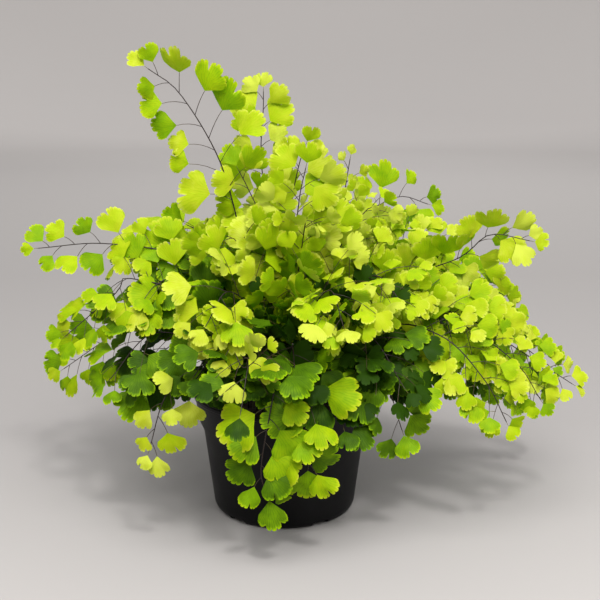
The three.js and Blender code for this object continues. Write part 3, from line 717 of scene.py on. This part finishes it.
def leafletMaterial():
    look = leafletLook
    material, tree, skin, place = newMaterial("maidenhair leaflet", look["roughness"], look["specular"])
    uv = addNode(tree, "ShaderNodeUVMap", uv_map="leafletUV").outputs[0]
    parts = addNode(tree, "ShaderNodeSeparateXYZ", {0: uv}).outputs
    across, out = parts["X"], parts["Y"]
    tint = addNode(tree, "ShaderNodeAttribute", attribute_name="tint").outputs["Fac"]
    cloud = noiseOn(tree, place, look["cloudScale"])
    bend = calculate(tree, "MULTIPLY", noiseOn(tree, place, look["veinNoise"]), look["veinBend"])
    turns = look["veins"] * math.tau
    fan = calculate(tree, "SINE", calculate(tree, "MULTIPLY_ADD", across, turns, bend))
    fine = calculate(tree, "SINE", calculate(tree, "MULTIPLY_ADD", across, 2 * turns, bend))
    forked = between(tree, out, *look["fork"])
    wave = addNode(tree, "ShaderNodeMix", {0: forked, 2: fan, 3: fine}).outputs[0]
    vein = between(tree, wave, *look["veinCrest"])
    edge = between(tree, out, *look["rim"])
    level = calculate(tree, "MULTIPLY_ADD", calculate(tree, "SUBTRACT", cloud, 0.5), look["cloud"], tint)
    level = calculate(tree, "MULTIPLY_ADD", edge, look["edge"], level)
    level = calculate(tree, "MULTIPLY_ADD", vein, look["vein"], level)
    level = calculate(tree, "MULTIPLY", look["levelShare"], level)
    colour = ramp(tree, level, look["colours"])
    through = ramp(tree, level, look["throughColours"])
    tree.links.new(colour, skin.inputs["Base Color"])
    height = calculate(tree, "MULTIPLY_ADD", cloud, look["cloudHeight"], vein)
    addBump(tree, skin, height, look["bump"], look["bumpDepth"] * mm)
    glow = addNode(tree, "ShaderNodeBsdfTranslucent", {"Color": through})
    both = addNode(tree, "ShaderNodeMixShader", {0: look["through"], 1: skin.outputs[0], 2: glow.outputs[0]})
    tree.links.new(both.outputs[0], tree.nodes["Material Output"].inputs["Surface"])
    return material


def stemMaterial():
    look = stemLook
    material, tree, skin, place = newMaterial("wiry stem", look["roughness"], look["specular"])
    young = addNode(tree, "ShaderNodeAttribute", attribute_name="young").outputs["Fac"]
    level = calculate(tree, "MULTIPLY_ADD", noiseOn(tree, place, look["noiseScale"]), look["noise"], young)
    tree.links.new(ramp(tree, level, look["colours"]), skin.inputs["Base Color"])
    addBump(tree, skin, noiseOn(tree, place, look["bumpScale"]), look["bump"], look["bumpDepth"] * mm)
    return material


leafletLook = {
    "roughness": 0.55, "specular": 0.1, "through": 0.46, "cloudScale": 130.0, "cloud": 0.46, "edge": 0.36,
    "vein": -0.085, "veins": 9, "veinNoise": 240.0, "veinBend": 1.2, "bump": 0.42, "bumpDepth": 0.25,
    "fork": (0.45, 0.6), "veinCrest": (0.45, 1.0), "rim": (0.86, 1.0), "cloudHeight": 0.6,
    "levelShare": 0.86, "flattest": 0.7, "cupRoll": 0.7,
    "colours": [(0.0, (0.022, 0.062, 0.001)), (0.26, (0.085, 0.180, 0.002)), (0.47, (0.230, 0.395, 0.002)),
                (0.69, (0.415, 0.520, 0.003)), (0.86, (0.500, 0.538, 0.016)), (1.0, (0.585, 0.612, 0.066))],
    "throughColours": [(0.0, (0.03, 0.12, 0.0005)), (0.26, (0.08, 0.29, 0.0005)), (0.47, (0.18, 0.52, 0.001)),
                       (0.69, (0.34, 0.69, 0.002)), (0.86, (0.45, 0.72, 0.008)), (1.0, (0.52, 0.74, 0.030))],
}
stemLook = {
    "roughness": 0.5, "specular": 0.3, "footRadius": 0.65, "tipRadius": 0.27,
    "stalkRadius": 0.24, "stalkTip": 0.16, "hairRadius": 0.17, "hairTip": 0.13,
    "stemAge": (0.0, 0.4), "stalkAge": (0.3, 0.7), "hairAge": (0.6, 0.9),
    "sides": 6, "steps": 36, "stalkSteps": 4, "stalkRise": 0.08,
    "noiseScale": 160.0, "noise": 0.2, "bumpScale": 900.0, "bump": 0.2, "bumpDepth": 0.1,
    "colours": [(0.0, (0.006, 0.004, 0.004)), (0.45, (0.015, 0.008, 0.006)), (0.75, (0.045, 0.032, 0.008)),
                (1.0, (0.13, 0.14, 0.012))],
}


def frondLeaflets(name, leaflets, tree, shapes, material):
    ob = meshObject(name, metres(one["path"][-1] for one in leaflets), [])
    turns, stretches = [], []
    for one in leaflets:
        axis, normal, r = Vector(one["axis"]), Vector(one["normal"]), one["radius"] * mm
        turns.append(Matrix((axis, normal.cross(axis), normal)).transposed().to_euler())
        stretches.append((r, r, r * (leafletLook["flattest"] + leafletLook["cupRoll"] * one["bend"])))
    setAttribute(ob.data, "turn", "FLOAT_VECTOR", turns)
    setAttribute(ob.data, "stretch", "FLOAT_VECTOR", stretches)
    setAttribute(ob.data, "kind", "INT", [one["kind"] for one in leaflets])
    setAttribute(ob.data, "tint", "FLOAT", [one["tint"] for one in leaflets])
    return grow(ob, tree, {"Shapes": shapes, "Material": material})


def frondStems(name, frond, tree, material):
    look = stemLook
    guides = frond["guides"]
    params, _ = evenParameters(guides, [i / look["steps"] for i in range(look["steps"] + 1)])
    main = [curvePoint(guides, t) for t in params]
    root = plus(main[0], up, -stem["rootDepth"])
    rows = [([root, *main], look["footRadius"], look["tipRadius"], look["stemAge"])]
    for start, end in frond["stalks"]:
        path = []
        for i in range(look["stalkSteps"] + 1):
            s = i / look["stalkSteps"]
            rise = look["stalkRise"] * size(minus(end, start)) * 4 * s * (1 - s)
            path.append(plus(plus(times(start, 1 - s), end, s), up, rise))
        rows.append((path, look["stalkRadius"], look["stalkTip"], look["stalkAge"]))
    rows += [(one["path"], look["hairRadius"], look["hairTip"], look["hairAge"])
             for one in frond["leaflets"] if one["rank"]]
    verts, edges, thickness, young = [], [], [], []
    for path, first, last, (firstAge, lastAge) in rows:
        for i, p in enumerate(path):
            s = i / (len(path) - 1)
            if i:
                edges.append((len(verts) - 1, len(verts)))
            verts.append(p)
            thickness.append((first + (last - first) * s) * mm)
            young.append(firstAge + (lastAge - firstAge) * s)
    ob = meshObject(name, metres(verts), [], edges)
    setAttribute(ob.data, "thickness", "FLOAT", thickness)
    setAttribute(ob.data, "young", "FLOAT", young)
    return grow(ob, tree, {"Sides": look["sides"], "Material": material})


def dressFronds():
    shapes = leafletCollection()
    leafletMat, stemMat = leafletMaterial(), stemMaterial()
    leaves, stems = leafletTree(), stemTree()
    count = 0
    for frond in growAll():
        node = "frond_" + frond["plan"]["name"]
        green = frondLeaflets(node + "_leaflets", frond["leaflets"], leaves, shapes, leafletMat)
        dark = frondStems(node + "_stems", frond, stems, stemMat)
        declare(green, "leaf", node)
        declare(dark, "stem", node)
        count += len(frond["leaflets"])
    dropShapes(shapes)
    say("fronds dressed, leaflets %d" % count)


dressFronds()


# Pot
potInside = [(45.4, 4.2), (52.2, 55.5), (55.2, 62.1), (57.8, 80)]
potLook = {
    "turns": 160, "arcSteps": 5, "longestRound": 0.45,
    "outerRounds": [0.8, 2.0, 3.0, 3.0, 3.0, 1.2, 0.4, 0.6],
    "innerRounds": [0.6, 2.0, 2.0, 1.0], "sharp": 38,
    "notches": 5, "firstNotch": -41, "notchWidth": 12, "notchHeight": 3.2, "notchInner": 32, "notchReach": 20,
    "roughness": 0.44, "specular": 0.13,
    "colours": [(0.3, (0.0020, 0.0020, 0.0022)), (0.7, (0.0038, 0.0038, 0.0041))],
    "cloudScale": 22.0, "grainScale": 900.0, "grain": 0.22, "grainDepth": 0.2,
    "cloudDetail": 4, "cloudRange": (0.3, 0.7), "roughRange": (0.36, 0.52),
}


# An outline with each corner rounded by a curve that starts and ends at a distance from it
def roundedOutline(points, rounds):
    out = [points[0]]
    for i in range(1, len(points) - 1):
        before, corner, after = (Vector(p) for p in points[i - 1:i + 2])
        shorter = min((before - corner).length, (after - corner).length)
        reach = min(rounds[i - 1], potLook["longestRound"] * shorter)
        first = corner + (before - corner).normalized() * reach
        last = corner + (after - corner).normalized() * reach
        for k in range(potLook["arcSteps"]):
            s = k / (potLook["arcSteps"] - 1)
            out.append(tuple(first * (1 - s) ** 2 + corner * 2 * s * (1 - s) + last * s ** 2))
    return out + [points[-1]]


def turnedObject(name, outline, turns):
    inner = outline[1:-1]
    count = len(inner)
    verts = [(0, 0, outline[0][1]), (0, 0, outline[-1][1])]
    for i in range(turns):
        a = math.tau * i / turns
        verts += [(r * math.cos(a), r * math.sin(a), z) for r, z in inner]
    faces = []
    for i in range(turns):
        a, b = 2 + i * count, 2 + (i + 1) % turns * count
        faces += [(0, b, a), (1, a + count - 1, b + count - 1)]
        faces += [(a + k, b + k, b + k + 1, a + k + 1) for k in range(count - 1)]
    return meshObject(name, metres(verts), faces)


def cutNotches(pot):
    look = potLook
    work = bmesh.new()
    for k in range(look["notches"]):
        sides = (look["notchWidth"], look["notchReach"], 2 * look["notchHeight"])
        angle = look["firstNotch"] + 360 / look["notches"] * k
        place = Matrix.Rotation(math.radians(angle), 4, "Z") @ Matrix.Translation(
            (0, -(look["notchInner"] + look["notchReach"] / 2) * mm, 0))
        bmesh.ops.create_cube(work, size=1, matrix=place @ Matrix.Diagonal((*(q * mm for q in sides), 1)))
    mesh = bpy.data.meshes.new("notch cutter")
    work.to_mesh(mesh)
    work.free()
    cutter = link(bpy.data.objects.new("notch cutter", mesh))
    link(pot)
    cut = pot.modifiers.new("notches", "BOOLEAN")
    cut.object, cut.operation, cut.solver = cutter, "DIFFERENCE", "EXACT"
    graph = bpy.context.evaluated_depsgraph_get()
    pot.data = bpy.data.meshes.new_from_object(pot.evaluated_get(graph), depsgraph=graph)
    pot.modifiers.clear()
    bpy.data.objects.remove(cutter)


def potMaterial():
    look = potLook
    material, tree, skin, place = newMaterial("black pot plastic", look["roughness"], look["specular"])
    cloud = noiseOn(tree, place, look["cloudScale"], look["cloudDetail"])
    tree.links.new(ramp(tree, cloud, look["colours"]), skin.inputs["Base Color"])
    rough = between(tree, cloud, *look["cloudRange"], *look["roughRange"])
    tree.links.new(rough, skin.inputs["Roughness"])
    addBump(tree, skin, noiseOn(tree, place, look["grainScale"]), look["grain"], look["grainDepth"] * mm)
    return material


def makePot():
    look = potLook
    outline = [(0, 0), *potOutside, *reversed(potInside), (0, potInside[0][1])]
    rounds = look["outerRounds"] + look["innerRounds"][::-1]
    pot = turnedObject("nursery_pot", roundedOutline(outline, rounds), look["turns"])
    cutNotches(pot)
    sharpenEdges(pot.data, look["sharp"])
    pot.data.materials.append(potMaterial())
    declare(pot, "pot", "pot")
    say("pot turned and notched")


makePot()


# Soil
soilLook = {
    "gap": 0.3, "margin": 1, "edgeFrom": 0.7, "edgeDrop": 2.0, "rings": 44, "turns": 110,
    "roughLayer": 3, "roughScale": 90.0, "rough": 1.3, "gritLayer": 9, "gritScale": 330.0, "grit": 0.5,
    "roughness": 0.92, "specular": 0.3, "colourScale": 120.0, "colourDetail": 5, "colourRough": 0.7,
    "bumpScale": 700.0, "bumpDetail": 4, "bump": 0.6, "bumpDepth": 0.6,
    "colours": [(0.3, (0.0055, 0.0035, 0.0025)), (0.55, (0.020, 0.010, 0.0055)),
                (0.8, (0.050, 0.024, 0.011))],
    "bits": 26000.0, "bitSmall": 0.35, "bitLarge": 3.0, "bitReach": 50.5, "bitDepth": 3, "bitTilt": 0.5,
    "seed": 11, "gradeSeed": 3, "gradePower": 3,
    "bark": [(0.0, (0.012, 0.007, 0.004)), (0.5, (0.045, 0.020, 0.009)), (1.0, (0.115, 0.052, 0.022))],
}
chip = {
    "shapes": 4, "seed": 40, "rough": (0.75, 0.5),
    "length": (0.7, 0.9), "width": (0.5, 0.4), "height": (0.25, 0.35),  # least size and its roll
}


def soilHeight(x, y):
    look = soilLook
    r = math.hypot(x, y)
    crown = soilCrown * (1 - (r / rimRadius) ** 2)
    crown -= look["edgeDrop"] * max(0, r / rimRadius - look["edgeFrom"])
    rough = look["rough"] * noise.noise(Vector((x, y, look["roughLayer"])) * mm * look["roughScale"])
    grit = look["grit"] * noise.noise(Vector((x, y, look["gritLayer"])) * mm * look["gritScale"])
    return soilTop + crown + rough + grit


def innerRadius(z):
    i = next(i for i in range(1, len(potInside)) if potInside[i][1] >= z)
    (r1, z1), (r2, z2) = potInside[i - 1], potInside[i]
    return r1 + (r2 - r1) * (z - z1) / (z2 - z1)


def soilBed():
    look = soilLook
    edge = innerRadius(soilTop - look["edgeDrop"]) - look["gap"]
    low = potInside[0][1] + look["gap"]
    side = [(r - look["gap"], z) for r, z in potInside[1:] if z < soilTop - look["edgeDrop"] - look["margin"]]
    outline = [(0, low), (innerRadius(low) - look["gap"], low), *side]
    outline += [(edge * (1 - i / look["rings"]), soilTop) for i in range(look["rings"])] + [(0, soilTop)]
    bed = turnedObject("soil_bed", outline, look["turns"])
    for vertex in bed.data.vertices:
        x, y, z = vertex.co / mm
        if z > soilTop - look["margin"]:
            vertex.co.z = soilHeight(x, y) * mm
    return bed


def chipShapes():
    holder = bpy.data.collections.new("chip shapes")
    for k in range(chip["shapes"]):
        roll = makeDice(chip["seed"] + k)
        work = bmesh.new()
        bmesh.ops.create_icosphere(work, subdivisions=1, radius=1)
        stretch = [least + more * roll() for least, more in (chip["length"], chip["width"], chip["height"])]
        least, more = chip["rough"]
        for vertex in work.verts:
            vertex.co = Vector(q * s * (least + more * roll()) for q, s in zip(vertex.co, stretch))
        mesh = bpy.data.meshes.new("chip%d" % k)
        work.to_mesh(mesh)
        work.free()
        holder.objects.link(bpy.data.objects.new(mesh.name, mesh))
    return holder


# Bark chips scattered on the soil inside the rim
def chipTree():
    tree, given = newTree("scatter chips", [
        ("Shapes", "NodeSocketCollection"), ("Density", "NodeSocketFloat"), ("Reach", "NodeSocketFloat"),
        ("Smallest", "NodeSocketFloat"), ("Largest", "NodeSocketFloat"), ("Lowest", "NodeSocketFloat"),
        ("Seed", "NodeSocketInt"), ("Material", "NodeSocketMaterial")])
    place = tree.nodes.new("GeometryNodeInputPosition").outputs[0]
    parts = addNode(tree, "ShaderNodeSeparateXYZ", {0: place}).outputs
    flat = addNode(tree, "ShaderNodeCombineXYZ", {0: parts[0], 1: parts[1]}).outputs[0]
    radius = addNode(tree, "ShaderNodeVectorMath", {0: flat}, operation="LENGTH").outputs["Value"]
    inside = calculate(tree, "LESS_THAN", radius, given["Reach"])
    onTop = calculate(tree, "GREATER_THAN", parts[2], given["Lowest"])
    points = addNode(tree, "GeometryNodeDistributePointsOnFaces", {
        "Mesh": given["Geometry"], "Selection": calculate(tree, "MULTIPLY", inside, onTop),
        "Density": given["Density"], "Seed": given["Seed"]})
    shapes = eachShape(tree, given["Shapes"])
    turn = addNode(tree, "FunctionNodeRandomValue", {
        0: (0, 0, 0), 1: (soilLook["bitTilt"], soilLook["bitTilt"], math.tau), "Seed": given["Seed"]},
        data_type="FLOAT_VECTOR")
    index = tree.nodes.new("GeometryNodeInputIndex").outputs[0]
    grade = addNode(tree, "FunctionNodeRandomValue", {
        2: 0.0, 3: 1.0, "ID": index, "Seed": soilLook["gradeSeed"]}, data_type="FLOAT")
    cube = calculate(tree, "POWER", grade.outputs[1], soilLook["gradePower"])
    span = calculate(tree, "SUBTRACT", given["Largest"], given["Smallest"])
    scale = calculate(tree, "MULTIPLY_ADD", cube, span, given["Smallest"])
    placed = addNode(tree, "GeometryNodeInstanceOnPoints", {
        "Points": points.outputs[0], "Instance": shapes, "Pick Instance": True,
        "Rotation": turn.outputs[0], "Scale": scale})
    closeTree(tree, placed.outputs[0], given["Material"])
    return tree


def earthMaterial(name, stops):
    look = soilLook
    material, tree, skin, place = newMaterial(name, look["roughness"], look["specular"])
    cloud = noiseOn(tree, place, look["colourScale"], look["colourDetail"], look["colourRough"])
    tree.links.new(ramp(tree, cloud, stops), skin.inputs["Base Color"])
    height = noiseOn(tree, place, look["bumpScale"], look["bumpDetail"])
    addBump(tree, skin, height, look["bump"], look["bumpDepth"] * mm)
    return material


def makeSoil():
    look = soilLook
    bed = soilBed()
    shapes = chipShapes()
    chips = bpy.data.objects.new("bark_chips", bed.data.copy())
    grow(chips, chipTree(), {
        "Shapes": shapes, "Density": look["bits"], "Reach": look["bitReach"] * mm, "Seed": look["seed"],
        "Smallest": look["bitSmall"] * mm, "Largest": look["bitLarge"] * mm,
        "Lowest": (soilTop - look["bitDepth"]) * mm,
        "Material": earthMaterial("bark chips", look["bark"])})
    dropShapes(shapes)
    bed.data.materials.append(earthMaterial("damp soil", look["colours"]))
    link(bed)
    declare(bed, "soil", "soil")
    declare(chips, "soil", "soil")
    say("soil laid, chips %d faces" % len(chips.data.polygons))


makeSoil()


# Floor, lights and camera
stageLook = {
    "flat": 2.6, "cove": 0.8, "wall": 1.6, "turns": 96, "steps": 14, "roughness": 0.85, "specular": 0.2,
    "nearest": -0.2, "furthest": 3.4,
    # Floor colour from front to back: darker around and behind the pot, lighter in front and towards the
    # wall; this is painted shade and light
    "colours": [(0.0, (0.330, 0.311, 0.299)), (0.10, (0.252, 0.237, 0.229)), (0.264, (0.236, 0.222, 0.214)),
                (0.43, (0.265, 0.250, 0.240)), (0.64, (0.309, 0.291, 0.281)), (0.82, (0.392, 0.369, 0.356)),
                (0.944, (0.358, 0.337, 0.325))],
}
lights = [
    {"name": "key", "from": (0.42, -1.4, 1.95), "size": 0.24, "power": 27, "aim": (0, 0, 0.16)},
    {"name": "soft", "from": (0.0, -1.3, 2.0), "size": 2.0, "power": 91, "aim": (0, 0, 0.16)},
    {"name": "side", "from": (1.7, -1.1, 0.9), "size": 1.2, "power": 9, "aim": (0, 0, 0.16)},
    {"name": "back", "from": (0.6, 1.9, 1.5), "size": 1.4, "power": 10, "aim": (0, 0, 0.16)},
    {"name": "wall", "from": (0, 1.2, 2.2), "size": 1.6, "power": 30, "aim": (0, 3.4, 1.0)},
]
ambient = {"colour": (0.96, 0.98, 1.0), "strength": 0.7}
shot = {"place": (0.0105, -0.680, 0.300), "down": 13.2, "sensor": 36, "focus": 1072, "frame": 600}


def makeStage():
    look = stageLook
    outline = [(0, 0), (look["flat"], 0)]
    for i in range(1, look["steps"] + 1):
        a = math.pi / 2 * i / look["steps"]
        outline.append((look["flat"] + look["cove"] * math.sin(a), look["cove"] * (1 - math.cos(a))))
    outline.append((look["flat"] + look["cove"], look["wall"]))
    verts = [(0, 0, 0)]
    faces = []
    count = len(outline) - 1
    for i in range(look["turns"]):
        a = math.tau * i / look["turns"]
        verts += [(r * math.cos(a), r * math.sin(a), z) for r, z in outline[1:]]
        first, second = 1 + i * count, 1 + (i + 1) % look["turns"] * count
        faces.append((0, first, second))
        faces += [(first + k, first + k + 1, second + k + 1, second + k) for k in range(count - 1)]
    floor = link(meshObject("floor", verts, faces))
    material, tree, skin, place = newMaterial("pale floor", look["roughness"], look["specular"])
    # Painted shade and light: the floor's colour follows its distance from the front, darker behind the pot
    # and lighter on the wall
    away = addNode(tree, "ShaderNodeSeparateXYZ", {0: place}).outputs["Y"]
    depth = between(tree, away, look["nearest"], look["furthest"])
    tree.links.new(ramp(tree, depth, look["colours"]), skin.inputs["Base Color"])
    floor.data.materials.append(material)


def makeLights():
    for one in lights:
        light = bpy.data.lights.new(one["name"], "AREA")
        light.size, light.energy = one["size"], one["power"]
        ob = link(bpy.data.objects.new(one["name"], light))
        ob.location = one["from"]
        ob.rotation_euler = (Vector(one["aim"]) - Vector(one["from"])).to_track_quat("-Z", "Y").to_euler()
    world = bpy.data.worlds.new("studio")
    world.use_nodes = True
    sky = world.node_tree.nodes["Background"]
    sky.inputs["Color"].default_value = (*ambient["colour"], 1)
    sky.inputs["Strength"].default_value = ambient["strength"]
    bpy.context.scene.world = world


def makeCamera():
    camera = bpy.data.cameras.new("camera")
    camera.sensor_width = shot["sensor"]
    camera.lens = shot["sensor"] * shot["focus"] / shot["frame"]
    ob = link(bpy.data.objects.new("camera", camera))
    ob.location = shot["place"]
    ob.rotation_euler = (math.radians(90 - shot["down"]), 0, 0)
    bpy.context.scene.camera = ob


makeStage()
makeLights()
makeCamera()
bpy.context.scene.view_settings.view_transform = "Standard"
say("stage, lights and camera set")
